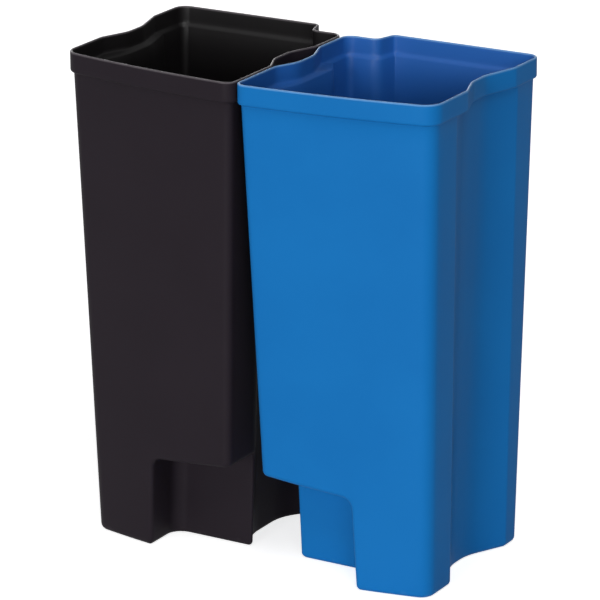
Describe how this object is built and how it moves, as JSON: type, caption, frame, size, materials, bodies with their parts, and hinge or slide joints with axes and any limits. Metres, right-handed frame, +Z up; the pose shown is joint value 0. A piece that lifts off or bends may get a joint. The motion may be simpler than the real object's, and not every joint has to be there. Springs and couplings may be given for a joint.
{
  "type": "double recycling bin",
  "caption": "Pair of open rigid inner bins, mirror images, standing side by side, with channelled sides, a rim band and a notch low at the front.",
  "frame": {"origin": "on the floor, under the middle of the pair of bins", "axes": "+X across the front from the black bin to the blue one, +Y from the front to the back, +Z up out of the open tops"},
  "size_m": [0.569, 0.3242, 0.69],
  "materials": {
    "black_plastic": "matte, fine moulded grain",
    "blue_plastic": "matte, fine moulded grain"
  },
  "bodies": {
    "black_bin": {"black_bin": "black_plastic"},
    "blue_bin": {"blue_bin": "blue_plastic"}
  },
  "joints": [
    {"name": "blue_bin_lift", "type": "slide", "parent": "black_bin", "child": "blue_bin", "axis": [0, 0, 1], "range_m": [0, 0.72]}
  ]
}
